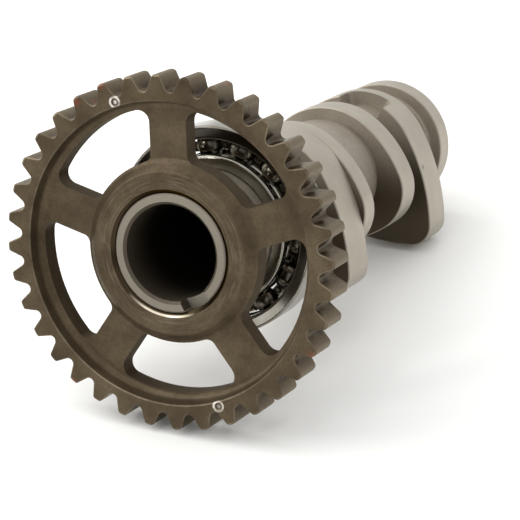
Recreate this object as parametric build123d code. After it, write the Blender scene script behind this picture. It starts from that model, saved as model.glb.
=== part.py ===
from build123d import *
import math
import os

os.makedirs("parts", exist_ok=True)

# Overhead camshaft of a small four-stroke engine, with its pressed-on timing
# sprocket and the deep-groove ball bearing that carries the sprocket end.
#
# Sizes are millimetres and angles are degrees. Everything is first drawn about
# a straight axis: the shaft lies along Y, the sprocket's front tooth face is
# Y = 0 and the shaft runs toward +Y. Angles run from +X toward +Z, which is
# anticlockwise seen from the sprocket end. At the end the whole assembly is
# turned and tipped into the pose in which it lies on a flat floor.

# Timing sprocket
TEETH = 36
CHAIN_PITCH = 6.35
TOOTH_WIDTH = 8.0
TOOTH_ADDENDUM = 2.17
TOOTH_DEDENDUM = 1.4
TOOTH_FLANK_ANGLE = 27.5
TOOTH_VALLEY_RADIUS = 1.15
TOOTH_CORNER_RADIUS = 1.1
TOOTH_TIP_BEVEL = 0.5
TOOTH_EDGE_BREAK = 0.25
TOOTH_PHASE = 5.1
RIM_BAND = 2.1
RIM_EDGE_BREAK = 0.25
RIM_RECESS = 3.4
RIM_FOOT = 1.9
WEB_THICKNESS = 4.2
SPOKES = 5
SPOKE_WIDTH = 8.6
SPOKE_PHASE = 94.2
WINDOW_OUTER_CORNER = 2.5
WINDOW_INNER_CORNER = 2.0
BOSS_RADIUS = 17.7
BOSS_SETBACK = 1.4
BOSS_FOOT = 2.2
BOSS_EDGE_ROUND = 0.8
BORE_MOUTH_CHAMFER = 0.95
HUB_WALL = 1.8
HUB_END_CHAMFER = 0.6
HUB_FOOT_ROUND = 1.5
MARK_DIAMETER = 1.9
MARK_DEPTH = 0.45
MARK_ANGLES = (112.1, 292.8)

# Tubular nose of the shaft
NOSE_RADIUS = 13.0
NOSE_BORE_RADIUS = 10.6
NOSE_SETBACK = 1.8
NOSE_END_CHAMFER = 0.3
NOSE_BORE_CHAMFER = 0.6
NOSE_BORE_DEPTH = 46.0
DRILL_POINT_ANGLE = 118.0
SLOT_WIDTH = 6.5
SLOT_DEPTH = 3.3
SLOT_ANGLE = -58.0

# Bearing seat and shaft sections, each by its radius and length
SEAT_RADIUS = 14.0
SEAT_START = 18.5
BEARING_SETBACK = 4.5
STOP_RADIUS = 16.75
STOP_WIDTH = 2.5
FRONT_NECK_RADIUS = 14.0
FRONT_NECK_LENGTH = 15.9
MIDDLE_NECK_LENGTH = 17.9
RELIEF_DEPTH = 0.5
RELIEF_WIDTH = 1.2
REAR_NECK_RADIUS = 12.8
REAR_NECK_LENGTH = 8.5
TAIL_NECK_RADIUS = 12.5
TAIL_NECK_LENGTH = 10.1
JOURNAL_RADIUS = 16.0
JOURNAL_LENGTH = 6.0
JOURNAL_CHAMFER = 0.5
NECK_ROUND = 1.0

# Cam lobes, in order from the sprocket
LOBE_BASE_RADIUS = 16.54
LOBE_EDGE_CHAMFER = 0.25
WIDE_NOSE_RADIUS = 5.23
WIDE_NOSE_REACH = 21.5
WIDE_FLANK_RADIUS = 49.0
WIDE_ANGLE = -40.6
NARROW_NOSE_RADIUS = 10.8
NARROW_NOSE_REACH = 9.8
NARROW_FLANK_RADIUS = 28.3
NARROW_ANGLE = -14.8
LOBE_1_WIDTH = 11.25
LOBE_2_WIDTH = 5.95
LOBE_3_WIDTH = 8.0
LOBE_4_WIDTH = 10.4

# Pocket milled in the base circle of the rear wide lobe
POCKET_START = 61.6
POCKET_SPAN = 42.3
POCKET_WIDTH = 6.3
POCKET_FLOOR_RADIUS = 13.2
POCKET_CORNER = 1.8

# Ball bearing; each ring has the same wall under its raceway, and the gap
# between the rings' plain edges is open on both sides of the balls
BEARING_WIDTH = 9.0
RING_WALL = 1.922
LAND_GAP = 3.4
RING_EDGE_ROUND = 0.7
SEAT_CHAMFER = 0.3
BALLS = 14
BALL_RADIUS = 2.778
BALL_PHASE = 101.2
RACE_CLEARANCE = 0.05
RACE_CONFORMITY = 1.04
CAGE_WIDTH = 2.1
CAGE_SHEET = 0.5
CAGE_CLEARANCE = 0.1
RIVET_RADIUS = 0.4
RIVET_HEAD_RADIUS = 0.7
RIVET_HEAD_HEIGHT = 0.35

# Turn about the shaft's own axis at which the rear wide lobe, the end journal
# and one tooth all meet the floor
REST_TURN = 0.87

# Derived sizes
pitch_radius = CHAIN_PITCH / (2 * math.sin(math.pi / TEETH))
tip_radius = pitch_radius + TOOTH_ADDENDUM
root_radius = pitch_radius - TOOTH_DEDENDUM
rim_radius = root_radius - RIM_BAND
window_outer_radius = rim_radius - RIM_FOOT
window_inner_radius = BOSS_RADIUS + BOSS_FOOT
web_rear = RIM_RECESS + WEB_THICKNESS
hub_radius = NOSE_RADIUS + HUB_WALL
drill_point = NOSE_BORE_RADIUS / math.tan(math.radians(DRILL_POINT_ANGLE / 2))

ball_circle_radius = SEAT_RADIUS + RING_WALL + RACE_CLEARANCE + BALL_RADIUS
outer_ring_radius = ball_circle_radius + BALL_RADIUS + RACE_CLEARANCE + RING_WALL
inner_land_radius = ball_circle_radius - LAND_GAP / 2
outer_land_radius = ball_circle_radius + LAND_GAP / 2

bearing_front = SEAT_START + BEARING_SETBACK
bearing_middle = bearing_front + BEARING_WIDTH / 2
stop_start = bearing_front + BEARING_WIDTH
front_neck_start = stop_start + STOP_WIDTH
lobe_1_start = front_neck_start + FRONT_NECK_LENGTH
lobe_2_start = lobe_1_start + LOBE_1_WIDTH
middle_neck_start = lobe_2_start + LOBE_2_WIDTH
lobe_3_start = middle_neck_start + MIDDLE_NECK_LENGTH
rear_neck_start = lobe_3_start + LOBE_3_WIDTH
lobe_4_start = rear_neck_start + REAR_NECK_LENGTH
tail_neck_start = lobe_4_start + LOBE_4_WIDTH
journal_start = tail_neck_start + TAIL_NECK_LENGTH
shaft_end = journal_start + JOURNAL_LENGTH


def polar(radius, angle):
    return (radius * math.cos(math.radians(angle)), radius * math.sin(math.radians(angle)))


def rounded_face(points):
    """Closed face through (x, y, corner radius) points, each corner a tangent arc."""
    count = len(points)
    corners = []
    for i in range(count):
        px, py, _ = points[i - 1]
        x, y, radius = points[i]
        qx, qy, _ = points[(i + 1) % count]
        ax, ay, bx, by = px - x, py - y, qx - x, qy - y
        la, lb = math.hypot(ax, ay), math.hypot(bx, by)
        ax, ay, bx, by = ax / la, ay / la, bx / lb, by / lb
        half = math.acos(max(-1.0, min(1.0, ax * bx + ay * by))) / 2
        if radius <= 0 or half > math.radians(89.5):
            corners.append(((x, y), None, (x, y)))
            continue
        cut = min(radius / math.tan(half), 0.45 * la, 0.45 * lb)
        fitted = cut * math.tan(half)
        mx, my = ax + bx, ay + by
        lm = math.hypot(mx, my)
        mx, my = mx / lm, my / lm
        reach = fitted / math.sin(half) - fitted
        corners.append(((x + ax * cut, y + ay * cut), (x + mx * reach, y + my * reach),
                        (x + bx * cut, y + by * cut)))
    edges = []
    for i in range(count):
        start, middle, end = corners[i]
        if middle is not None:
            edges.append(Edge.make_three_point_arc(start, middle, end))
        following = corners[(i + 1) % count][0]
        if math.dist(end, following) > 1e-6:
            edges.append(Edge.make_line(end, following))
    return Face(Wire(edges))


def turned(points):
    """Body of revolution about the shaft axis from (radius, Y, corner radius) points."""
    return revolve(rounded_face(points), axis=Axis.Y, revolution_arc=360)


def across(start):
    """Plane square to the shaft at Y = start, local x along X and local y along Z."""
    return Plane(origin=(0, start, 0), x_dir=(1, 0, 0), z_dir=(0, -1, 0))


def plate(face, start, length):
    """Flat outline drawn square to the shaft, thickened from Y = start toward +Y."""
    return extrude(across(start) * face, amount=length, dir=(0, 1, 0))


def about_shaft(shape, angle):
    """Shape turned about the shaft from +X toward +Z by the given angle."""
    return Rotation(0, -angle, 0) * shape


def lobe_face(base, nose, reach, flank, angle):
    """Cam outline: base circle, nose circle and two flank arcs tangent to both."""
    a, b = flank - base, flank - nose
    x = (a * a - b * b + reach * reach) / (2 * reach)
    y = math.sqrt(a * a - x * x)

    def on_flank(side, toward_x):
        # the flank centre lies beyond the axis from the flank it draws
        fx, fy = x, -side * y
        dx, dy = toward_x - fx, -fy
        size = math.hypot(dx, dy)
        return fx + dx / size * flank, fy + dy / size * flank

    def flank_middle(side, start, end):
        fx, fy = x, -side * y
        mx, my = (start[0] + end[0]) / 2 - fx, (start[1] + end[1]) / 2 - fy
        size = math.hypot(mx, my)
        return fx + mx / size * flank, fy + my / size * flank

    base_up, nose_up = on_flank(1, 0.0), on_flank(1, reach)
    base_down, nose_down = on_flank(-1, 0.0), on_flank(-1, reach)
    edges = [
        Edge.make_three_point_arc(base_up, (-base, 0), base_down),
        Edge.make_three_point_arc(base_down, flank_middle(-1, base_down, nose_down), nose_down),
        Edge.make_three_point_arc(nose_down, (reach + nose, 0), nose_up),
        Edge.make_three_point_arc(nose_up, flank_middle(1, nose_up, base_up), base_up),
    ]
    return Rotation(0, 0, angle) * Face(Wire(edges))


def lobe(face, start, width):
    """One cam lobe with its ground edges broken."""
    body = plate(face, start, width)
    rims = [e for e in body.edges() if abs(e.center().Y - start) < 1e-4
            or abs(e.center().Y - start - width) < 1e-4]
    return chamfer(rims, LOBE_EDGE_CHAMFER)


# Camshaft: the turned body with its drilled bore
nose_step = [
    (NOSE_BORE_RADIUS + NOSE_BORE_CHAMFER, NOSE_SETBACK, 0),
    (NOSE_RADIUS - NOSE_END_CHAMFER, NOSE_SETBACK, 0),
    (NOSE_RADIUS, NOSE_SETBACK + NOSE_END_CHAMFER, 0),
    (NOSE_RADIUS, SEAT_START, 0),
    (SEAT_RADIUS, SEAT_START, 0),
    (SEAT_RADIUS, stop_start, 0),
]
neck_steps = [
    (STOP_RADIUS, stop_start, NECK_ROUND / 2),
    (STOP_RADIUS, front_neck_start, NECK_ROUND),
    (FRONT_NECK_RADIUS, front_neck_start, NECK_ROUND),
    (FRONT_NECK_RADIUS, lobe_1_start, 0),
    (FRONT_NECK_RADIUS, lobe_3_start - 2 * RELIEF_WIDTH, 0),
    (FRONT_NECK_RADIUS - RELIEF_DEPTH, lobe_3_start - RELIEF_WIDTH, RELIEF_DEPTH),
    (FRONT_NECK_RADIUS - RELIEF_DEPTH, lobe_3_start, 0),
    (FRONT_NECK_RADIUS - RELIEF_DEPTH, lobe_3_start + LOBE_3_WIDTH / 2, 0),
    (REAR_NECK_RADIUS, lobe_3_start + LOBE_3_WIDTH / 2, 0),
    (REAR_NECK_RADIUS, lobe_4_start + LOBE_4_WIDTH / 2, 0),
    (TAIL_NECK_RADIUS, lobe_4_start + LOBE_4_WIDTH / 2, 0),
    (TAIL_NECK_RADIUS, journal_start, NECK_ROUND),
]
journal_step = [
    (JOURNAL_RADIUS, journal_start, JOURNAL_CHAMFER),
    (JOURNAL_RADIUS, shaft_end - JOURNAL_CHAMFER, 0),
    (JOURNAL_RADIUS - JOURNAL_CHAMFER, shaft_end, 0),
]
bore_step = [
    (0, shaft_end, 0),
    (0, NOSE_SETBACK + NOSE_BORE_DEPTH + drill_point, 0),
    (NOSE_BORE_RADIUS, NOSE_SETBACK + NOSE_BORE_DEPTH, 0),
    (NOSE_BORE_RADIUS, NOSE_SETBACK + NOSE_BORE_CHAMFER, 0),
]
shaft = turned(nose_step + neck_steps + journal_step + bore_step)

# Cam lobes, ground over the cast body; the first is drawn hollow in the middle
# so that the bore stays open where it passes under it
core = Circle(REAR_NECK_RADIUS - 1.0)
wide_face = lobe_face(LOBE_BASE_RADIUS, WIDE_NOSE_RADIUS, WIDE_NOSE_REACH,
                      WIDE_FLANK_RADIUS, WIDE_ANGLE)
narrow_face = lobe_face(LOBE_BASE_RADIUS, NARROW_NOSE_RADIUS, NARROW_NOSE_REACH,
                        NARROW_FLANK_RADIUS, NARROW_ANGLE)
for face, start, width in (
    (wide_face, lobe_1_start, LOBE_1_WIDTH),
    (narrow_face, lobe_2_start, LOBE_2_WIDTH),
    (narrow_face, lobe_3_start, LOBE_3_WIDTH),
    (wide_face, lobe_4_start, LOBE_4_WIDTH),
):
    shaft += lobe(face, start, width) - plate(core, start, width)

# Driving slot through the wall of the tubular nose, open at its end
slot_length = NOSE_RADIUS + 2
slot = Box(slot_length, SLOT_DEPTH * 2, SLOT_WIDTH)
slot = Pos(slot_length / 2, NOSE_SETBACK, 0) * slot
shaft -= about_shaft(slot, SLOT_ANGLE)

# Pocket in the rear wide lobe, open at its front face and outward
pocket_outer = LOBE_BASE_RADIUS + 3
pocket = revolve(
    rounded_face([
        (POCKET_FLOOR_RADIUS, lobe_4_start - 1, 0),
        (pocket_outer, lobe_4_start - 1, 0),
        (pocket_outer, lobe_4_start + POCKET_WIDTH, 0),
        (POCKET_FLOOR_RADIUS, lobe_4_start + POCKET_WIDTH, 0),
    ]),
    axis=Axis.Y, revolution_arc=POCKET_SPAN)
pocket_back = [e for e in pocket.edges().filter_by(GeomType.LINE)
               if abs(e.center().Y - lobe_4_start - POCKET_WIDTH) < 1e-4]
pocket = fillet(pocket_back, min(POCKET_CORNER, POCKET_WIDTH / 2))
shaft -= about_shaft(pocket, POCKET_START + POCKET_SPAN)

# Timing sprocket: turned blank, tooth gaps, windows and timing marks
valley_centre = root_radius + TOOTH_VALLEY_RADIUS
flank_tilt = math.radians(TOOTH_FLANK_ANGLE)
flank_foot = (valley_centre - TOOTH_VALLEY_RADIUS * math.sin(flank_tilt),
              TOOTH_VALLEY_RADIUS * math.cos(flank_tilt))
# corner circle: tangent to the flank and to the tip circle from inside the tooth
offset_x = flank_foot[0] - TOOTH_CORNER_RADIUS * math.sin(flank_tilt)
offset_y = flank_foot[1] + TOOTH_CORNER_RADIUS * math.cos(flank_tilt)
along = offset_x * math.cos(flank_tilt) + offset_y * math.sin(flank_tilt)
room = (tip_radius - TOOTH_CORNER_RADIUS) ** 2 - offset_x ** 2 - offset_y ** 2
flank_length = -along + math.sqrt(along * along + room)
corner = (offset_x + flank_length * math.cos(flank_tilt),
          offset_y + flank_length * math.sin(flank_tilt))
flank_head = (flank_foot[0] + flank_length * math.cos(flank_tilt),
              flank_foot[1] + flank_length * math.sin(flank_tilt))
corner_size = math.hypot(*corner)
tip_point = (corner[0] / corner_size * tip_radius, corner[1] / corner_size * tip_radius)
bend_x = (flank_head[0] + tip_point[0]) / 2 - corner[0]
bend_y = (flank_head[1] + tip_point[1]) / 2 - corner[1]
bend_size = math.hypot(bend_x, bend_y)
corner_point = (corner[0] + bend_x / bend_size * TOOTH_CORNER_RADIUS,
                corner[1] + bend_y / bend_size * TOOTH_CORNER_RADIUS)


def placed(point, angle, side):
    """Point of the tooth gap drawing, turned to its gap and mirrored to a side."""
    c, s = math.cos(math.radians(angle)), math.sin(math.radians(angle))
    return (point[0] * c - side * point[1] * s, point[0] * s + side * point[1] * c)


tooth_step = 360 / TEETH
tooth_edges = []
for i in range(TEETH):
    gap = TOOTH_PHASE + tooth_step * (i + 0.5)
    low = [placed(p, gap, -1) for p in (tip_point, corner_point, flank_head, flank_foot)]
    high = [placed(p, gap, 1) for p in (flank_foot, flank_head, corner_point, tip_point)]
    next_tip = placed(tip_point, gap + tooth_step, -1)
    tooth_edges += [
        Edge.make_three_point_arc(low[0], low[1], low[2]),
        Edge.make_line(low[2], low[3]),
        Edge.make_three_point_arc(low[3], polar(root_radius, gap), high[0]),
        Edge.make_line(high[0], high[1]),
        Edge.make_three_point_arc(high[1], high[2], high[3]),
        Edge.make_three_point_arc(high[3], polar(tip_radius, gap + tooth_step / 2), next_tip),
    ]
toothed = plate(Face(Wire(tooth_edges)), 0, TOOTH_WIDTH)
outline = [e for e in toothed.edges() if abs(e.center().Y) < 1e-4
           or abs(e.center().Y - TOOTH_WIDTH) < 1e-4]
toothed = chamfer(outline, TOOTH_EDGE_BREAK)
toothed = toothed & turned([
    (0, 0, 0),
    (tip_radius - TOOTH_TIP_BEVEL, 0, 0),
    (tip_radius, TOOTH_TIP_BEVEL, 0),
    (tip_radius, TOOTH_WIDTH - TOOTH_TIP_BEVEL, 0),
    (tip_radius - TOOTH_TIP_BEVEL, TOOTH_WIDTH, 0),
    (0, TOOTH_WIDTH, 0),
])

recess = turned([
    (0, -1, 0),
    (rim_radius + RIM_EDGE_BREAK, -1, 0),
    (rim_radius + RIM_EDGE_BREAK, 0, 0),
    (rim_radius, RIM_EDGE_BREAK, 0),
    (rim_radius - RIM_FOOT * 0.25, RIM_RECESS, RIM_FOOT),
    (window_inner_radius, RIM_RECESS, BOSS_FOOT),
    (BOSS_RADIUS, BOSS_SETBACK, BOSS_EDGE_ROUND),
    (0, BOSS_SETBACK, 0),
])
rear_recess = turned([
    (0, web_rear, 0),
    (rim_radius, web_rear, 0),
    (rim_radius, TOOTH_WIDTH + 1, 0),
    (0, TOOTH_WIDTH + 1, 0),
])
hub = turned([
    (0, RIM_RECESS + 1, 0),
    (hub_radius + HUB_FOOT_ROUND, RIM_RECESS + 1, 0),
    (hub_radius + HUB_FOOT_ROUND, web_rear, 0),
    (hub_radius, web_rear + HUB_FOOT_ROUND, 0),
    (hub_radius, SEAT_START - HUB_END_CHAMFER, 0),
    (hub_radius - HUB_END_CHAMFER, SEAT_START, 0),
    (0, SEAT_START, 0),
])
bore = turned([
    (0, BOSS_SETBACK - 1, 0),
    (NOSE_RADIUS + BORE_MOUTH_CHAMFER, BOSS_SETBACK - 1, 0),
    (NOSE_RADIUS + BORE_MOUTH_CHAMFER, BOSS_SETBACK, 0),
    (NOSE_RADIUS, BOSS_SETBACK + BORE_MOUTH_CHAMFER, 0),
    (NOSE_RADIUS, SEAT_START + 1, 0),
    (0, SEAT_START + 1, 0),
])
window_ring = Circle(window_outer_radius) - Circle(window_inner_radius)
for i in range(SPOKES):
    spoke = Pos(window_outer_radius, 0) * Rectangle(2 * window_outer_radius, SPOKE_WIDTH)
    window_ring -= Rotation(0, 0, SPOKE_PHASE + 360 / SPOKES * i) * spoke
outer_corners = [v for v in window_ring.vertices()
                 if math.hypot(v.X, v.Y) > (window_outer_radius + window_inner_radius) / 2]
windows = fillet(outer_corners, WINDOW_OUTER_CORNER)
inner_corners = [v for v in windows.vertices()
                 if math.hypot(v.X, v.Y) < window_inner_radius + 0.01]
windows = fillet(inner_corners, WINDOW_INNER_CORNER)

sprocket = toothed - recess - rear_recess + hub - bore
sprocket -= plate(windows, -1, TOOTH_WIDTH + 2)
mark = Rotation(90, 0, 0) * Cone(0, MARK_DIAMETER / 2, MARK_DEPTH)
for angle in MARK_ANGLES:
    spot = polar(root_radius - RIM_BAND / 2, angle)
    sprocket -= Pos(spot[0], MARK_DEPTH / 2, spot[1]) * mark

# Ball bearing: rings with their raceways
race_radius = BALL_RADIUS * RACE_CONFORMITY
inner_race = ball_circle_radius - BALL_RADIUS - RACE_CLEARANCE + race_radius
outer_race = ball_circle_radius + BALL_RADIUS + RACE_CLEARANCE - race_radius
inner_ring = turned([
    (SEAT_RADIUS, bearing_front + SEAT_CHAMFER, 0),
    (SEAT_RADIUS + SEAT_CHAMFER, bearing_front, 0),
    (inner_land_radius, bearing_front, RING_EDGE_ROUND),
    (inner_land_radius, stop_start, RING_EDGE_ROUND),
    (SEAT_RADIUS + SEAT_CHAMFER, stop_start, 0),
    (SEAT_RADIUS, stop_start - SEAT_CHAMFER, 0),
])
outer_ring = turned([
    (outer_land_radius, bearing_front, RING_EDGE_ROUND),
    (outer_ring_radius, bearing_front, RING_EDGE_ROUND),
    (outer_ring_radius, stop_start, RING_EDGE_ROUND),
    (outer_land_radius, stop_start, RING_EDGE_ROUND),
])


def raceway(centre_radius):
    """Ring of circular section that cuts a raceway in a bearing ring."""
    section = Pos(centre_radius, bearing_middle) * Circle(race_radius)
    return revolve(section, axis=Axis.Y, revolution_arc=360)


inner_ring -= raceway(inner_race)
outer_ring -= raceway(outer_race)

# Balls
ball_angles = [BALL_PHASE - 360 / BALLS * i for i in range(BALLS)]
# Cage: two pressed ribbons cup the balls and meet in flat pads between them
cage_inner = ball_circle_radius - CAGE_WIDTH / 2
cage_outer = ball_circle_radius + CAGE_WIDTH / 2
pocket_radius = BALL_RADIUS + CAGE_CLEARANCE
pocket_back_radius = pocket_radius + CAGE_SHEET
rivet_angles = [a + 180 / BALLS for a in ball_angles]


def on_ball_circle(angle):
    """Location on the circle of ball centres, its local z along the shaft."""
    return (Pos(0, bearing_middle, 0) * Rotation(0, -angle, 0)
            * Pos(ball_circle_radius, 0, 0) * Rotation(90, 0, 0))


def ribbon(side):
    """Half of the cage on the front (-1) or rear (1) side of the ball circle."""
    near, far = bearing_middle, bearing_middle + side * CAGE_SHEET
    end = bearing_middle + side * (pocket_back_radius + CAGE_SHEET)
    half = turned([(cage_inner, near, 0), (cage_outer, near, 0),
                   (cage_outer, far, 0), (cage_inner, far, 0)])
    band = turned([(cage_inner, near, 0), (cage_outer, near, 0),
                   (cage_outer, end, 0), (cage_inner, end, 0)])
    for a in ball_angles:
        half += band & (on_ball_circle(a) * Sphere(pocket_back_radius))
    for a in ball_angles:
        half -= on_ball_circle(a) * Sphere(pocket_radius)
    for a in rivet_angles:
        half -= on_ball_circle(a) * Cylinder(RIVET_RADIUS, CAGE_SHEET * 4)
    return half


balls = [on_ball_circle(a) * Sphere(BALL_RADIUS) for a in ball_angles]
cage_front = ribbon(-1)
cage_rear = ribbon(1)

# Rivets: a shank through both pads with a domed head on each side
grip = CAGE_SHEET
rivet_profile = [
    (0, -grip - RIVET_HEAD_HEIGHT, 0),
    (RIVET_HEAD_RADIUS * 0.6, -grip - RIVET_HEAD_HEIGHT, 0),
    (RIVET_HEAD_RADIUS, -grip - RIVET_HEAD_HEIGHT * 0.3, 0),
    (RIVET_HEAD_RADIUS, -grip, 0),
    (RIVET_RADIUS, -grip, 0),
    (RIVET_RADIUS, grip, 0),
    (RIVET_HEAD_RADIUS, grip, 0),
    (RIVET_HEAD_RADIUS, grip + RIVET_HEAD_HEIGHT * 0.3, 0),
    (RIVET_HEAD_RADIUS * 0.6, grip + RIVET_HEAD_HEIGHT, 0),
    (0, grip + RIVET_HEAD_HEIGHT, 0),
]
rivet = Rotation(-90, 0, 0) * turned(rivet_profile)
rivets = [on_ball_circle(a) * rivet for a in rivet_angles]

# Rest on the floor: the lowest tooth and the lowest rear feature set the tilt
corner_angle = math.degrees(math.atan2(tip_point[1], tip_point[0]))
tip_half = tooth_step / 2 - corner_angle
tooth_drops = []
for i in range(TEETH):
    away = (TOOTH_PHASE + REST_TURN + tooth_step * i + 90 + 180) % 360 - 180
    past = max(0.0, abs(away) - tip_half)
    tooth_drops.append((tip_radius - TOOTH_CORNER_RADIUS) * math.cos(math.radians(past))
                       + TOOTH_CORNER_RADIUS)
front_drop = max(tooth_drops)
nose_away = math.radians(WIDE_ANGLE + REST_TURN + 90)
lobe_drop = max(LOBE_BASE_RADIUS, WIDE_NOSE_REACH * math.cos(nose_away) + WIDE_NOSE_RADIUS)
lobe_edge = tail_neck_start - LOBE_EDGE_CHAMFER
journal_edge = shaft_end - JOURNAL_CHAMFER
tooth_edge = TOOTH_WIDTH - TOOTH_TIP_BEVEL
slope = min((front_drop - lobe_drop) / (lobe_edge - tooth_edge),
            (front_drop - JOURNAL_RADIUS) / (journal_edge - tooth_edge))
droop = math.degrees(math.atan(slope))

nodes = {
    "camshaft": shaft,
    "timing_sprocket": sprocket,
    "bearing_inner_ring": inner_ring,
    "bearing_outer_ring": outer_ring,
    "cage_front_half": cage_front,
    "cage_rear_half": cage_rear,
    "cage_rivets": Compound(rivets),
}
for i, ball in enumerate(balls):
    nodes[f"ball_{i + 1:02d}"] = ball

posed = {}
for name, shape in nodes.items():
    posed[name] = Rotation(-droop, 0, 0) * (Rotation(0, -REST_TURN, 0) * shape)

# The origin is at floor level, under the middle of the assembly's own box
boxes = [posed[name].bounding_box() for name in ("camshaft", "timing_sprocket")]
floor = (tooth_edge * math.sin(math.radians(droop))
         + front_drop * math.cos(math.radians(droop)))
lift = Pos(-(min(b.min.X for b in boxes) + max(b.max.X for b in boxes)) / 2,
           -(min(b.min.Y for b in boxes) + max(b.max.Y for b in boxes)) / 2,
           floor)
for name, shape in posed.items():
    export_step(lift * shape, f"parts/{name}.step")
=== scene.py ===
# %% [markdown]
# # A camshaft with its timing sprocket, lying on a pale floor
# The solids come from the CAD frame: a cast and ground shaft, a sintered sprocket pressed on
# its nose, and an open ball bearing behind the sprocket. Here we give each metal the finish
# that its making left on it, then set the light and the camera of a small product photograph.

# %% Load the frame
import math
from types import SimpleNamespace

import bpy
from mathutils import Euler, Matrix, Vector

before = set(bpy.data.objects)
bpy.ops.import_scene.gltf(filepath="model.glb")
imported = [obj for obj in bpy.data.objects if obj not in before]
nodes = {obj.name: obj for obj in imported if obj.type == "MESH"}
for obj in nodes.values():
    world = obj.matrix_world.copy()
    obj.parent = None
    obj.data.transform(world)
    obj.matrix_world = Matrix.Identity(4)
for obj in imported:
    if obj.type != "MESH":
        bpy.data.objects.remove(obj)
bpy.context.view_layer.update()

# %% [markdown]
# ## Where things are on the shaft
# The shaft isn't parallel to the floor: it lies on one tooth, its rear lobe and its end journal.
# Finishes follow the shaft, not the floor, so every pattern below is laid out from the shaft's
# own axis, in millimetres from the middle of the sprocket's front face.

# %% The shaft's axis in the frame
AXIS = Vector((0.0, 0.983008, -0.183564)).normalized()
AXIS_START = Vector((0.0, -0.0610887, 0.0392365))   # middle of the front face, in metres
SIDE = Vector((1.0, 0.0, 0.0))
OVER = SIDE.cross(AXIS)
REST_TURN = math.radians(0.87)


def on_shaft(along, radius, angle_deg):
    """Place on the shaft in mm from the start of its axis; angles run from +X toward +Z."""
    angle = math.radians(angle_deg) + REST_TURN
    return AXIS * along + (SIDE * math.cos(angle) + OVER * math.sin(angle)) * radius


print("a millimetre over the axis:", on_shaft(0, 1, 90))

# %% Sizes of the real part that the finishes follow, in millimetres
TOOTH_TIP = 38.6        # radius over the teeth
TOOTH_VALLEY = (34.6, 36.3)   # radii of the tooth valleys, where painted shade and oil patches lie
RIM_INSIDE = 32.7       # radius at which the rim's flat band begins
BOSS = 17.7             # radius of the sprocket's boss
NOSE = 13.0             # radius of the shaft's tubular nose
TUBE_WALL = 12.65       # radius between the nose's outside and its inner wall
BORE_END = 60.0         # past the blind end of the bore
SEAT_END = 32.0         # the nose and the bearing seat are ground up to here
LOBE_FOOT = 16.15       # only the lobes and the bearing's stop reach past this radius
JOURNAL_START = 122.4   # the end journal begins just behind this
JOURNAL_FOOT = 15.45    # and its ground outside lies beyond this radius
LAST_LOBE_END = 112.0   # the rear lobe ends just behind this
RING_LAND = (19.0, 20.0)      # radii in the gap between the bearing's two rings
print("the sprocket is", 2 * TOOTH_TIP, "mm over its teeth")

# %% [markdown]
# ## Small helpers for materials
# A colour given as a hex code is an sRGB value, while Blender mixes light in linear values, so one
# function converts. Two more feed a node's inputs and add a node that is already fed, which
# keeps each material readable as a list of steps.


# %% Colour and node helpers
def srgb(code):
    """Linear RGBA from an sRGB hex code."""
    parts = [int(code[i:i + 2], 16) / 255 for i in (1, 3, 5)]
    return [p / 12.92 if p <= 0.04045 else ((p + 0.055) / 1.055) ** 2.4 for p in parts] + [1.0]


def feed(tree, node, inputs):
    """Gives a node its inputs: values, sockets, or other nodes by their first output in use."""
    for name, value in inputs.items():
        if isinstance(value, bpy.types.Node):
            value = next(out for out in value.outputs if out.enabled)
        if isinstance(value, bpy.types.NodeSocket):
            tree.links.new(value, node.inputs[name])
        else:
            node.inputs[name].default_value = value


def add(tree, kind, inputs=None, **settings):
    """Adds one node with its settings and its links."""
    node = tree.nodes.new(kind)
    for name, value in settings.items():
        setattr(node, name, value)
    feed(tree, node, inputs or {})
    return node


def new_finish(name):
    """An empty material with its shader; returns the material, its tree and the shader."""
    finish = bpy.data.materials.new(name)
    finish.use_nodes = True
    return finish, finish.node_tree, finish.node_tree.nodes["Principled BSDF"]


SHARE, FIRST, SECOND = 0, 6, 7   # inputs of a colour mix: its share and its two colours
PER_METRE = 1000                 # a noise scale of PER_METRE / 8 gives clouds 8 mm across
print("helpers ready; mid grey is", srgb("#808080")[0])

# %% [markdown]
# ## Reading a place on the shaft inside a material
# Object coordinates are metres in the frame. Counted from the sprocket's face in millimetres,
# their dot product with the axis is the distance along the shaft, and the length of their
# cross product with it is the radius. With those two, a single turned part can be ground in
# one place and left as cast in another, as real ones are.


# %% Distance along the shaft, radius, and how square a face is to the axis
def shaft_place(tree):
    """The place in the frame and, in mm, where that is along, beside, above and out."""
    place = add(tree, "ShaderNodeTexCoord").outputs["Object"]
    from_start = add(tree, "ShaderNodeVectorMath", {0: place, 1: AXIS_START},
                     operation="SUBTRACT")
    in_mm = add(tree, "ShaderNodeVectorMath", {0: from_start, "Scale": 1000.0},
                operation="SCALE")
    along, beside, above = [
        add(tree, "ShaderNodeVectorMath", {0: in_mm, 1: way}, operation="DOT_PRODUCT")
        for way in (AXIS, SIDE, OVER)]
    away = add(tree, "ShaderNodeVectorMath", {0: in_mm, 1: AXIS}, operation="CROSS_PRODUCT")
    radius = add(tree, "ShaderNodeVectorMath", {0: away}, operation="LENGTH")
    return SimpleNamespace(place=place, in_mm=in_mm, along=along, beside=beside, above=above,
                           radius=radius)


def squareness(tree):
    """1 on faces square to the shaft, 0.7 on a 45 degree bevel, 0 on faces that run along it."""
    normal = add(tree, "ShaderNodeNewGeometry").outputs["True Normal"]
    facing = add(tree, "ShaderNodeVectorMath", {0: normal, 1: AXIS}, operation="DOT_PRODUCT")
    return add(tree, "ShaderNodeMath", {0: facing}, operation="ABSOLUTE")


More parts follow.
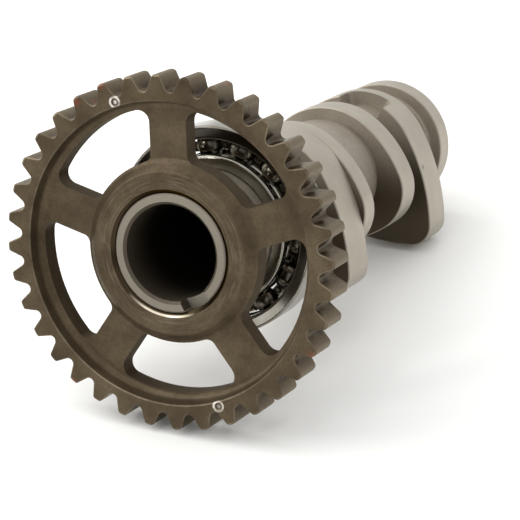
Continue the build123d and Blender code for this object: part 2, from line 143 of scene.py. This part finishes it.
def between(tree, value, low, high, blur):
    """1 where a value lies between two limits, with a soft step of the given width."""
    over = add(tree, "ShaderNodeMapRange",
               {"Value": value, "From Min": low - blur / 2, "From Max": low + blur / 2})
    under = add(tree, "ShaderNodeMapRange",
                {"Value": value, "From Min": high + blur / 2, "From Max": high - blur / 2})
    return add(tree, "ShaderNodeMath", {0: over, 1: under}, operation="MULTIPLY")


print("shaft axis slopes", round(math.degrees(math.asin(-AXIS.z)), 2), "degrees")

# %% [markdown]
# ## Sintered steel with a phosphate coat
# The sprocket is pressed from steel powder and dipped in a phosphate bath, which leaves a
# brown, slightly crystalline skin. To the eye it is a dull dark metal: soft highlights on its
# rounded edges and cloudy changes of tone. The real crystals are finer than a tenth of a
# millimetre, too fine to show, so the grain is drawn at 0.6 mm.

# %% The coat's colour: clouds and grain
COAT_DARK, COAT_LIGHT, COAT_GRAIN = "#403629", "#5d5140", "#362b1d"


def coat_colour(tree, clouds, grain):
    tone = add(tree, "ShaderNodeMapRange", {"Value": clouds, "From Min": 0.3, "From Max": 0.7})
    colour = add(tree, "ShaderNodeMix",
                 {SHARE: tone, FIRST: srgb(COAT_DARK), SECOND: srgb(COAT_LIGHT)},
                 data_type="RGBA")
    fine = add(tree, "ShaderNodeMapRange",
               {"Value": grain, "From Min": 0.45, "From Max": 0.75, "To Max": 0.35})
    return add(tree, "ShaderNodeMix",
               {SHARE: fine, FIRST: colour, SECOND: srgb(COAT_GRAIN)}, data_type="RGBA")


print("coat runs from", COAT_DARK, "to", COAT_LIGHT)

# %% [markdown]
# The boss's end alone is rubbed, with short scratches round the shaft. Noise that is stretched
# along the angle and fine along the radius gives such arcs, a few to the millimetre.

# %% Turned scratches on the boss
SCRATCHES_PER_MM = 2.4
SCRATCH = "#7b7466"


def boss_scratches(tree, colour, spot, square):
    angle = add(tree, "ShaderNodeMath", {0: spot.above, 1: spot.beside}, operation="ARCTAN2")
    spread = add(tree, "ShaderNodeCombineXYZ", {"X": spot.radius, "Y": angle})
    dashes = add(tree, "ShaderNodeTexNoise",
                 {"Vector": spread, "Scale": SCRATCHES_PER_MM, "Detail": 5.0})
    pale = add(tree, "ShaderNodeMapRange",
               {"Value": dashes, "From Min": 0.5, "From Max": 0.68, "To Max": 0.38})
    boss = add(tree, "ShaderNodeMapRange",
               {"Value": spot.radius, "From Min": BOSS - 0.1, "From Max": BOSS - 0.9})
    pale = add(tree, "ShaderNodeMath", {0: pale, 1: boss}, operation="MULTIPLY")
    pale = add(tree, "ShaderNodeMath", {0: pale, 1: square}, operation="MULTIPLY")
    return add(tree, "ShaderNodeMix",
               {SHARE: pale, FIRST: colour, SECOND: srgb(SCRATCH)}, data_type="RGBA")


print("scratches:", SCRATCHES_PER_MM, "to the millimetre")

# %% [markdown]
# ## Wear, painted highlight and painted shade on the teeth
# Chain and hands have rubbed the coat from the edge breaks. The tips of the teeth are painted
# lighter, part wear and part painted highlight, and the valleys get dark patches, part painted
# shade and part dried oil. Edge breaks are cut at 45 degrees, so a band of squareness round
# 0.7 finds them without any drawing by hand.

# %% Rubbed edges
# rubbed edges; tips lighter with wear and a painted highlight; valley patches dark with painted
# shade and dried oil
RUBBED_EDGE, RUBBED_TIP_AND_HIGHLIGHT, VALLEY_SHADE_AND_OIL = "#978c78", "#857b6b", "#23180e"


def bevels(tree, square):
    """1 on 45 degree edge breaks only."""
    low = add(tree, "ShaderNodeMapRange", {"Value": square, "From Min": 0.5, "From Max": 0.62})
    high = add(tree, "ShaderNodeMapRange", {"Value": square, "From Min": 0.92, "From Max": 0.8})
    return add(tree, "ShaderNodeMath", {0: low, 1: high}, operation="MULTIPLY")


def rubbed_edges(tree, colour, spot, bevel, clouds):
    rim = add(tree, "ShaderNodeMapRange",
              {"Value": spot.radius, "From Min": RIM_INSIDE - 0.1, "From Max": RIM_INSIDE + 0.1})
    uneven = add(tree, "ShaderNodeMapRange",
                 {"Value": clouds, "From Min": 0.3, "From Max": 0.65, "To Max": 0.42})
    rubbed = add(tree, "ShaderNodeMath", {0: bevel, 1: rim}, operation="MULTIPLY")
    rubbed = add(tree, "ShaderNodeMath", {0: rubbed, 1: uneven}, operation="MULTIPLY")
    return add(tree, "ShaderNodeMix",
               {SHARE: rubbed, FIRST: colour, SECOND: srgb(RUBBED_EDGE)}, data_type="RGBA")


# %% Rubbed tips with a painted highlight, and painted shade with oil in the valleys
def worn_teeth(tree, colour, spot, square, patches):
    """The teeth's colour with lighter tips, worn and a painted highlight, and dark valley patches,
    painted shade and oil; and the share of those valley patches.
    """
    walls = add(tree, "ShaderNodeMapRange",
                {"Value": square, "From Min": 0.4, "From Max": 0.2})
    # tips painted lighter: wear and a painted highlight
    tip_wear_and_highlight = add(tree, "ShaderNodeMapRange",
               {"Value": spot.radius, "From Min": TOOTH_TIP - 2.0, "From Max": TOOTH_TIP - 0.2,
                "To Max": 0.45})
    tip_wear_and_highlight = add(tree, "ShaderNodeMath", {0: tip_wear_and_highlight, 1: walls}, operation="MULTIPLY")
    colour = add(tree, "ShaderNodeMix",
                 {SHARE: tip_wear_and_highlight, FIRST: colour, SECOND: srgb(RUBBED_TIP_AND_HIGHLIGHT)}, data_type="RGBA")
    # dark patches in the valleys: painted shade and dried oil
    valley = between(tree, spot.radius, *TOOTH_VALLEY, 0.9)
    spread = add(tree, "ShaderNodeMapRange",
                 {"Value": patches, "From Min": 0.4, "From Max": 0.54, "To Max": 0.85})
    valley_shade_and_oil = add(tree, "ShaderNodeMath", {0: walls, 1: valley}, operation="MULTIPLY")
    valley_shade_and_oil = add(tree, "ShaderNodeMath", {0: valley_shade_and_oil, 1: spread}, operation="MULTIPLY")
    colour = add(tree, "ShaderNodeMix",
                 {SHARE: valley_shade_and_oil, FIRST: colour, SECOND: srgb(VALLEY_SHADE_AND_OIL)}, data_type="RGBA")
    return colour, valley_shade_and_oil


print("oil lies between the radii", TOOTH_VALLEY)

# %% [markdown]
# ## Timing marks and marker traces
# Two small drilled marks near the rim are lined up with the engine's case when the chain goes
# on. Each is pale with white paint and a painted highlight round its edge and on its bottom,
# and dark between, as painted shade in the hollow. A few teeth hold a little red from an
# inspector's marker. Both are laid by their distance from a point.

# %% Two timing marks
MARK_ANGLES = (112.1, 292.8)
MARK_RADIUS = 33.98
# painted shade in the hollow, pale edge and pale bottom (white paint and painted highlight):
# from and to in mm from the middle, and the colour
MARK_PAINT_HIGHLIGHT_AND_SHADE = ((-1.0, 1.0, "#453c30"), (0.85, 1.3, "#ddd6cd"), (-1.0, 0.45, "#efe9e3"))


def timing_marks(tree, colour, spot, specks):
    patchy = add(tree, "ShaderNodeMapRange",
               {"Value": specks, "From Min": 0.4, "From Max": 0.55, "To Min": 0.35, "To Max": 0.9})
    for angle in MARK_ANGLES:
        gap = add(tree, "ShaderNodeVectorMath",
                  {0: spot.in_mm, 1: on_shaft(0.0, MARK_RADIUS, angle)}, operation="DISTANCE")
        # pale rings: white paint and a painted highlight; dark ring: painted shade in the hollow
        for low, high, paint in MARK_PAINT_HIGHLIGHT_AND_SHADE:
            share = add(tree, "ShaderNodeMath",
                        {0: between(tree, gap, low, high, 0.2), 1: patchy}, operation="MULTIPLY")
            colour = add(tree, "ShaderNodeMix",
                         {SHARE: share, FIRST: colour, SECOND: srgb(paint)}, data_type="RGBA")
    return colour


# %% Traces of red marker, each by its distance along, its radius and its angle
RED_TRACES = ((0.0, 38.1, 114.9), (0.0, 37.3, 125.6), (2.4, 36.1, 122.1), (5.5, 38.6, 74.3),
              (0.3, 38.4, 235.3), (0.3, 37.9, 334.2))
MARKER_RED = "#a8443c"


def red_traces(tree, colour, spot, grain):
    for trace in RED_TRACES:
        gap = add(tree, "ShaderNodeVectorMath",
                  {0: spot.in_mm, 1: on_shaft(*trace)}, operation="DISTANCE")
        near = add(tree, "ShaderNodeMapRange",
                   {"Value": gap, "From Min": 1.2, "From Max": 0.3, "To Max": 0.4})
        share = add(tree, "ShaderNodeMath", {0: near, 1: grain}, operation="MULTIPLY")
        colour = add(tree, "ShaderNodeMix",
                     {SHARE: share, FIRST: colour, SECOND: srgb(MARKER_RED)}, data_type="RGBA")
    return colour


print("timing marks:", len(MARK_ANGLES), "red traces:", len(RED_TRACES))

# %% [markdown]
# ## Window walls and the bevel round the nose
# The walls of the windows are rougher than the faces and are painted darker, as painted shade
# inside the windows. The bevel round the nose was cut by a lathe after the coat, so it is bare
# smooth metal. It is painted dark as shade, apart from a bright crescent along its lowest part,
# which is a painted highlight.

# %% Window walls with painted shade, and the cut bevel with painted shade and highlight
# painted shade on the window walls and on the bevel, and a painted highlight on the bevel
WINDOW_WALL_SHADE, BEVEL_SHADE, BEVEL_HIGHLIGHT = "#372b1c", "#3a3124", "#c2b8a6"
# middle of the painted highlight on the bevel
CRESCENT_MIDDLE = on_shaft(1.6, 13.8, 262)


def window_walls(tree, colour, spot, square):
    """The colour with painted shade on the windows' walls, and the share of those walls."""
    running = add(tree, "ShaderNodeMapRange",
                  {"Value": square, "From Min": 0.5, "From Max": 0.3, "To Max": 0.6})
    inside = between(tree, spot.radius, BOSS + 0.2, RIM_INSIDE - 0.3, 0.2)
    # painted shade on the walls inside the windows
    dark_wall_share = add(tree, "ShaderNodeMath", {0: running, 1: inside}, operation="MULTIPLY")
    colour = add(tree, "ShaderNodeMix",
                 {SHARE: dark_wall_share, FIRST: colour, SECOND: srgb(WINDOW_WALL_SHADE)}, data_type="RGBA")
    return colour, dark_wall_share


def nose_bevel(tree, colour, spot, bevel):
    """The colour with the cut bevel on it, painted dark as shade with a painted highlight along
    its lowest part, and the share of that bevel.
    """
    cut = add(tree, "ShaderNodeMath",
              {0: between(tree, spot.radius, NOSE - 0.1, NOSE + 1.1, 0.1), 1: bevel},
              operation="MULTIPLY")
    gap = add(tree, "ShaderNodeVectorMath", {0: spot.in_mm, 1: CRESCENT_MIDDLE},
              operation="DISTANCE")
    # painted highlight: a bright crescent along the bevel's lowest part
    crescent = add(tree, "ShaderNodeMapRange", {"Value": gap, "From Min": 8.5, "From Max": 3.5})
    lip = add(tree, "ShaderNodeMapRange",
              {"Value": spot.radius, "From Min": NOSE + 0.5, "From Max": NOSE + 0.65})
    crescent = add(tree, "ShaderNodeMath", {0: crescent, 1: lip}, operation="MULTIPLY")
    # painted shade on the bevel, painted highlight in the crescent
    metal = add(tree, "ShaderNodeMix",
                {SHARE: crescent, FIRST: srgb(BEVEL_SHADE), SECOND: srgb(BEVEL_HIGHLIGHT)},
                data_type="RGBA")
    colour = add(tree, "ShaderNodeMix",
                 {SHARE: cut, FIRST: colour, SECOND: metal}, data_type="RGBA")
    return colour, cut


print("bright crescent at", CRESCENT_MIDDLE)

# %% [markdown]
# ## The whole sprocket finish
# The coat is a thin layer over metal, so it is part metal itself, and its reflections are
# weakened and tinted warm. Cut metal and the valley patches of painted shade and oil are
# smooth, the window walls are rough.


# %% Phosphated sintered steel
def phosphated_sintered_steel():
    finish, tree, shader = new_finish("phosphated_sintered_steel")
    spot = shaft_place(tree)
    square = squareness(tree)
    clouds = add(tree, "ShaderNodeTexNoise",
                 {"Vector": spot.place, "Scale": PER_METRE / 8, "Detail": 4.0, "Roughness": 0.6})
    patches, specks, grain = [
        add(tree, "ShaderNodeTexNoise",
            {"Vector": spot.place, "Scale": PER_METRE / across, "Detail": detail})
        for across, detail in ((5, 1.0), (1.5, 1.0), (0.6, 2.0))]
    colour = coat_colour(tree, clouds, grain)
    colour = boss_scratches(tree, colour, spot, square)
    bevel = bevels(tree, square)
    colour = rubbed_edges(tree, colour, spot, bevel, clouds)
    colour, valley_shade_and_oil = worn_teeth(tree, colour, spot, square, patches)
    colour, dark_wall_share = window_walls(tree, colour, spot, square)
    colour = timing_marks(tree, colour, spot, specks)
    colour = red_traces(tree, colour, spot, grain)
    colour, cut = nose_bevel(tree, colour, spot, bevel)
    rough = add(tree, "ShaderNodeMapRange",
                {"Value": grain, "From Min": 0.3, "From Max": 0.7, "To Min": 0.28, "To Max": 0.42})
    smooth = add(tree, "ShaderNodeMath", {0: cut, 1: valley_shade_and_oil}, operation="MAXIMUM")
    rough = add(tree, "ShaderNodeMix", {0: smooth, 2: rough, 3: 0.22}, data_type="FLOAT")
    rough = add(tree, "ShaderNodeMix", {0: dark_wall_share, 2: rough, 3: 0.75}, data_type="FLOAT")
    metal = add(tree, "ShaderNodeMapRange", {"Value": cut, "To Min": 0.4, "To Max": 1.0})
    bump = add(tree, "ShaderNodeBump", {"Strength": 0.25, "Distance": 0.00008, "Height": grain})
    feed(tree, shader, {"Base Color": colour, "Metallic": metal, "Roughness": rough,
                        "Normal": bump, "Specular IOR Level": 0.35,
                        "Specular Tint": srgb("#cfc1a6")})
    return finish


sprocket_finish = phosphated_sintered_steel()
print("made", sprocket_finish.name)

# %% [markdown]
# ## Cast iron, turned and then ground
# The shaft is a grey iron casting that is turned, and ground only where something runs on it:
# the cam lobes, the journal, the bearing seat and the nose. Ground metal is paler and evenly
# satin, because the wheel's lines are finer than a hair. The turned necks are a duller grey.


# %% Where the shaft is ground
def ground_places(tree, spot, square):
    """1 where a grinding wheel has been; faces square to the shaft are only turned."""
    around = add(tree, "ShaderNodeMapRange",
                 {"Value": square, "From Min": 0.9, "From Max": 0.5})
    lobes = add(tree, "ShaderNodeMapRange",
                {"Value": spot.radius, "From Min": LOBE_FOOT - 0.05, "From Max": LOBE_FOOT + 0.05})
    rear = add(tree, "ShaderNodeMapRange",
               {"Value": spot.along, "From Min": JOURNAL_START, "From Max": JOURNAL_START + 0.1})
    collar = add(tree, "ShaderNodeMapRange",
                 {"Value": spot.radius, "From Min": JOURNAL_FOOT - 0.05,
                  "From Max": JOURNAL_FOOT + 0.05})
    journal = add(tree, "ShaderNodeMath", {0: rear, 1: collar}, operation="MULTIPLY")
    front = add(tree, "ShaderNodeMapRange",
                {"Value": spot.along, "From Min": SEAT_END + 0.1, "From Max": SEAT_END})
    outside = add(tree, "ShaderNodeMapRange",
                  {"Value": spot.radius, "From Min": TUBE_WALL - 0.05,
                   "From Max": TUBE_WALL + 0.05})
    nose = add(tree, "ShaderNodeMath", {0: front, 1: outside}, operation="MULTIPLY")
    ground = add(tree, "ShaderNodeMath", {0: lobes, 1: journal}, operation="MAXIMUM")
    ground = add(tree, "ShaderNodeMath", {0: ground, 1: nose}, operation="MAXIMUM")
    return add(tree, "ShaderNodeMath", {0: ground, 1: around}, operation="MULTIPLY")


# %% [markdown]
# The sides of the lobes are painted darker toward the bottom, as painted shade. The
# nose's end face was turned last and is greyer than the rest.

# %% Colour of the turned metal
TURNED_DARK, TURNED_LIGHT, TURNED_GRAIN = "#8a8173", "#999083", "#4a443a"
# the first colour is painted shade for the lower sides of the lobes; the second is the nose's end
# face
LOW_SIDE_SHADE, NOSE_END = "#443a2b", "#7f796c"


def turned_colour(tree, spot, square, tone, grain):
    turned = add(tree, "ShaderNodeMix",
                 {SHARE: tone, FIRST: srgb(TURNED_DARK), SECOND: srgb(TURNED_LIGHT)},
                 data_type="RGBA")
    # painted shade: faces square to the shaft darken toward the bottom, up to the last lobe
    low = add(tree, "ShaderNodeMapRange",
              {"Value": spot.above, "From Min": 13.0, "From Max": -4.0},
              interpolation_type="SMOOTHSTEP")
    among_lobes = add(tree, "ShaderNodeMapRange",
                      {"Value": spot.along, "From Min": LAST_LOBE_END,
                       "From Max": LAST_LOBE_END - 4.0})
    painted_shade = add(tree, "ShaderNodeMath", {0: low, 1: square}, operation="MULTIPLY")
    painted_shade = add(tree, "ShaderNodeMath", {0: painted_shade, 1: among_lobes}, operation="MULTIPLY")
    colour = add(tree, "ShaderNodeMix",
                 {SHARE: painted_shade, FIRST: turned, SECOND: srgb(LOW_SIDE_SHADE)}, data_type="RGBA")
    fine = add(tree, "ShaderNodeMapRange",
               {"Value": grain, "From Min": 0.45, "From Max": 0.75, "To Max": 0.12})
    colour = add(tree, "ShaderNodeMix",
                 {SHARE: fine, FIRST: colour, SECOND: srgb(TURNED_GRAIN)}, data_type="RGBA")
    nose_end = add(tree, "ShaderNodeMapRange",
                   {"Value": spot.along, "From Min": 8.0, "From Max": 7.0, "To Max": 0.9})
    return add(tree, "ShaderNodeMix",
               {SHARE: nose_end, FIRST: colour, SECOND: srgb(NOSE_END)}, data_type="RGBA")


print("turned metal runs from", TURNED_DARK, "to", TURNED_LIGHT)

# %% [markdown]
# The rear lobe has one small dark nick on the surface that its follower runs on. The walls of
# the bore and the driving slot are painted dark, darker with depth, as painted shade.

# %% A nick, and painted shade in the bore
NICK, NICK_MIDDLE = "#4c463c", on_shaft(103.9, 18.25, 1.5)
# painted shade in the bore: its colour at the mouth and deep inside
BORE_MOUTH, BORE_DEPTH_SHADE = "#50473a", "#1c1811"


def rear_lobe_nick(tree, colour, spot):
    gap = add(tree, "ShaderNodeVectorMath", {0: spot.in_mm, 1: NICK_MIDDLE},
              operation="DISTANCE")
    nick = add(tree, "ShaderNodeMapRange",
               {"Value": gap, "From Min": 0.7, "From Max": 0.3, "To Max": 0.7})
    return add(tree, "ShaderNodeMix",
               {SHARE: nick, FIRST: colour, SECOND: srgb(NICK)}, data_type="RGBA")


def shaded_bore(tree, colour, spot, square):
    walls = add(tree, "ShaderNodeMapRange",
                {"Value": square, "From Min": 0.9, "From Max": 0.75})
    hollow = add(tree, "ShaderNodeMapRange",
                 {"Value": spot.radius, "From Min": TUBE_WALL + 0.05,
                  "From Max": TUBE_WALL - 0.05})
    hollow = add(tree, "ShaderNodeMath", {0: hollow, 1: walls}, operation="MULTIPLY")
    shallow = add(tree, "ShaderNodeMapRange",
                  {"Value": spot.along, "From Min": BORE_END + 0.5, "From Max": BORE_END})
    inside = add(tree, "ShaderNodeMath", {0: hollow, 1: shallow}, operation="MULTIPLY")
    # the painted shade grows darker with depth
    deeper = add(tree, "ShaderNodeMapRange",
                 {"Value": spot.along, "From Min": 2.0, "From Max": 14.0})
    painted_shade = add(tree, "ShaderNodeMix",
               {SHARE: deeper, FIRST: srgb(BORE_MOUTH), SECOND: srgb(BORE_DEPTH_SHADE)},
               data_type="RGBA")
    return add(tree, "ShaderNodeMix",
               {SHARE: inside, FIRST: colour, SECOND: painted_shade}, data_type="RGBA")


print("nick at", NICK_MIDDLE)

# %% [markdown]
# ## The whole shaft finish
# A grinding wheel leaves dozens of lines to the millimetre. Lines as fine as that wouldn't
# show, so they are drawn at 2.5 to the millimetre, as small changes of roughness.

# %% Ground cast iron
GROUND_DARK, GROUND_LIGHT = "#a49c8f", "#b1a99c"
GROUND_LINES_PER_MM = 2.5


def ground_cast_iron():
    finish, tree, shader = new_finish("ground_cast_iron")
    spot = shaft_place(tree)
    square = squareness(tree)
    clouds = add(tree, "ShaderNodeTexNoise",
                 {"Vector": spot.place, "Scale": PER_METRE / 9, "Detail": 4.0, "Roughness": 0.6})
    grain = add(tree, "ShaderNodeTexNoise",
                {"Vector": spot.place, "Scale": PER_METRE / 0.7, "Detail": 2.0})
    ground = ground_places(tree, spot, square)
    tone = add(tree, "ShaderNodeMapRange", {"Value": clouds, "From Min": 0.3, "From Max": 0.7})
    turned = turned_colour(tree, spot, square, tone, grain)
    bright = add(tree, "ShaderNodeMix",
                 {SHARE: tone, FIRST: srgb(GROUND_DARK), SECOND: srgb(GROUND_LIGHT)},
                 data_type="RGBA")
    colour = add(tree, "ShaderNodeMix",
                 {SHARE: ground, FIRST: turned, SECOND: bright}, data_type="RGBA")
    colour = rear_lobe_nick(tree, colour, spot)
    colour = shaded_bore(tree, colour, spot, square)
    lines = add(tree, "ShaderNodeTexNoise",
                {"W": spot.along, "Scale": GROUND_LINES_PER_MM, "Detail": 4.0},
                noise_dimensions="1D")
    satin = add(tree, "ShaderNodeMapRange",
                {"Value": lines, "From Min": 0.3, "From Max": 0.7, "To Min": 0.4, "To Max": 0.46})
    dull = add(tree, "ShaderNodeMapRange",
               {"Value": grain, "From Min": 0.3, "From Max": 0.7, "To Min": 0.42, "To Max": 0.55})
    rough = add(tree, "ShaderNodeMix", {0: ground, 2: dull, 3: satin}, data_type="FLOAT")
    relief = add(tree, "ShaderNodeMix", {0: ground, 2: grain, 3: 0.5}, data_type="FLOAT")
    bump = add(tree, "ShaderNodeBump", {"Strength": 0.2, "Distance": 0.0001, "Height": relief})
    metal = add(tree, "ShaderNodeMapRange", {"Value": ground, "To Min": 0.5, "To Max": 0.8})
    feed(tree, shader, {"Base Color": colour, "Metallic": metal, "Roughness": rough,
                        "Normal": bump})
    return finish


shaft_finish = ground_cast_iron()
print("made", shaft_finish.name)

# %% [markdown]
# ## Bearing steels
# The rings are hardened and ground all over, the balls are lapped to a mirror, and the cage is
# pressed from thin sheet. All are a dark grey steel under a film of oil, and they differ in
# smoothness: the rings have fine ground lines, the balls almost none.


# %% Balls and cage
def oiled_steel(name, colour, oiled, roughness):
    """Smooth steel that is darker where oil has pooled on it."""
    finish, tree, shader = new_finish(name)
    place = add(tree, "ShaderNodeTexCoord").outputs["Object"]
    pools = add(tree, "ShaderNodeTexNoise",
                {"Vector": place, "Scale": PER_METRE / 5, "Detail": 3.0})
    film = add(tree, "ShaderNodeMapRange", {"Value": pools, "From Min": 0.35, "From Max": 0.6})
    mixed = add(tree, "ShaderNodeMix",
                {SHARE: film, FIRST: srgb(oiled), SECOND: srgb(colour)}, data_type="RGBA")
    rough = add(tree, "ShaderNodeMapRange",
                {"Value": film, "To Min": roughness * 0.8, "To Max": roughness * 1.2})
    feed(tree, shader, {"Base Color": mixed, "Metallic": 1.0, "Roughness": rough})
    return finish


ball_finish = oiled_steel("lapped_bearing_steel", "#85837e", "#65615a", 0.05)
cage_finish = oiled_steel("pressed_sheet_steel", "#6d685e", "#4e483c", 0.25)
print("made", ball_finish.name, cage_finish.name)

# %% [markdown]
# The upper half of the outer ring's face is painted dark, as a painted reflection and shade,
# and below it the metal is bare and bright.

# %% Rings
# the third colour is the painted reflection and shade on the outer ring's upper face
RING_DARK, RING_LIGHT, RING_UPPER_SHADE = "#938f83", "#9f9b93", "#38342d"
RING_LINES_PER_MM = 4.0


def upper_face_shade(tree, spot):
    """The share of painted reflection and shade: on the outer ring's face, and on its upper half
    only.
    """
    # darker on the upper half: painted reflection and shade
    upper = add(tree, "ShaderNodeMapRange",
                {"Value": spot.above, "From Min": -6.0, "From Max": 2.0, "To Max": 0.9})
    outer = add(tree, "ShaderNodeMapRange",
                {"Value": spot.radius, "From Min": RING_LAND[0], "From Max": RING_LAND[1]})
    dark = add(tree, "ShaderNodeMath", {0: upper, 1: outer}, operation="MULTIPLY")
    return add(tree, "ShaderNodeMath", {0: dark, 1: squareness(tree)}, operation="MULTIPLY")


def ground_bearing_steel():
    finish, tree, shader = new_finish("ground_bearing_steel")
    spot = shaft_place(tree)
    pools = add(tree, "ShaderNodeTexNoise",
                {"Vector": spot.place, "Scale": PER_METRE / 4, "Detail": 2.0})
    tone = add(tree, "ShaderNodeMapRange", {"Value": pools, "From Min": 0.4, "From Max": 0.6})
    colour = add(tree, "ShaderNodeMix",
                 {SHARE: tone, FIRST: srgb(RING_DARK), SECOND: srgb(RING_LIGHT)},
                 data_type="RGBA")
    colour = add(tree, "ShaderNodeMix",
                 {SHARE: upper_face_shade(tree, spot), FIRST: colour, SECOND: srgb(RING_UPPER_SHADE)},
                 data_type="RGBA")
    lines = add(tree, "ShaderNodeTexNoise",
                {"W": spot.radius, "Scale": RING_LINES_PER_MM, "Detail": 3.0},
                noise_dimensions="1D")
    rough = add(tree, "ShaderNodeMapRange",
                {"Value": lines, "From Min": 0.3, "From Max": 0.7, "To Min": 0.18, "To Max": 0.24})
    feed(tree, shader, {"Base Color": colour, "Metallic": 1.0, "Roughness": rough})
    return finish


ring_finish = ground_bearing_steel()
print("made", ring_finish.name)

# %% [markdown]
# ## Dressing the CAD pieces
# Each CAD piece keeps its own mesh and only gets its finish: the balls, the cage and the rings
# by the start of their names, and the two large pieces by their own.

# %% Put the finishes on
finishes = {"ball_": ball_finish, "cage_": cage_finish, "bearing_": ring_finish,
            "timing_sprocket": sprocket_finish, "camshaft": shaft_finish}
for name, piece in nodes.items():
    start = next(s for s in finishes if name.startswith(s))
    piece.data.materials.clear()
    piece.data.materials.append(finishes[start])
print("dressed", len(nodes), "pieces")

# %% [markdown]
# ## Floor and light
# The part lies on a sheet of white board. Metal shows its shape through what it reflects, so a
# wide soft panel stands at the left, a smaller one hangs overhead, and the room grows dimmer
# toward the horizon. One small lamp in front puts bright points on the balls and the edges.

# %% A plain pale floor
bpy.ops.mesh.primitive_plane_add(size=6.0, location=(0, 0, 0))
floor = bpy.context.object
floor.name = "floor_board"
board, board_tree, board_shader = new_finish("white_board")
feed(board_tree, board_shader, {"Base Color": srgb("#f4f4f2"), "Roughness": 0.9,
                                "Specular IOR Level": 0.1})
floor.data.materials.append(board)
print("floor:", floor.name)


# %% Two soft panels and a small lamp
def panel(name, place, aim, width, height, watts):
    """A rectangular lamp, in metres, that faces the point it aims at."""
    lamp = bpy.data.lights.new(name, "AREA")
    lamp.shape = "RECTANGLE"
    lamp.size, lamp.size_y = width, height
    lamp.energy = watts
    holder = bpy.data.objects.new(name, lamp)
    holder.location = place
    holder.rotation_euler = (Vector(aim) - Vector(place)).to_track_quat("-Z", "Y").to_euler()
    bpy.context.scene.collection.objects.link(holder)


panel("overhead_panel", (-0.2, 0.0, 0.95), (0, 0, 0.02), 0.9, 0.8, 1.5)
panel("left_panel", (-0.75, -0.2, 0.6), (0, 0, 0.03), 1.2, 0.9, 7.0)
panel("small_lamp", (-0.35, -0.85, 0.5), (0, 0, 0.03), 0.1, 0.1, 1.0)

# %% A room that is bright overhead and dimmer toward the horizon
world = bpy.data.worlds.new("white_room")
world.use_nodes = True
room = world.node_tree
direction = add(room, "ShaderNodeTexCoord").outputs["Generated"]
height = add(room, "ShaderNodeVectorMath", {0: direction, 1: Vector((0.0, 0.15, 0.99))},
             operation="DOT_PRODUCT")
glow = add(room, "ShaderNodeMapRange",
           {"Value": height, "From Min": -0.05, "From Max": 0.4, "To Min": 0.45, "To Max": 1.15},
           interpolation_type="SMOOTHSTEP")
feed(room, room.nodes["Background"], {"Color": srgb("#f3f3f3"), "Strength": glow})
bpy.context.scene.world = world
bpy.context.scene.view_settings.view_transform = "Standard"
print("world:", world.name)

# %% [markdown]
# ## Camera
# The place, angle and focal length were solved from the sprocket's circle, the tube end and
# the far lobes in the photograph, so the render lines up with it.

# %% The photograph's camera
camera_data = bpy.data.cameras.new("camera")
camera_data.sensor_width = 36.0
camera_data.lens = 166.16
camera = bpy.data.objects.new("camera", camera_data)
camera.location = (0.215417, -0.464829, 0.255555)
camera.rotation_euler = Euler([math.radians(a) for a in (64.4799, 1.8258, 24.7309)], "XYZ")
bpy.context.scene.collection.objects.link(camera)
bpy.context.scene.camera = camera
print("camera", camera.location[:])
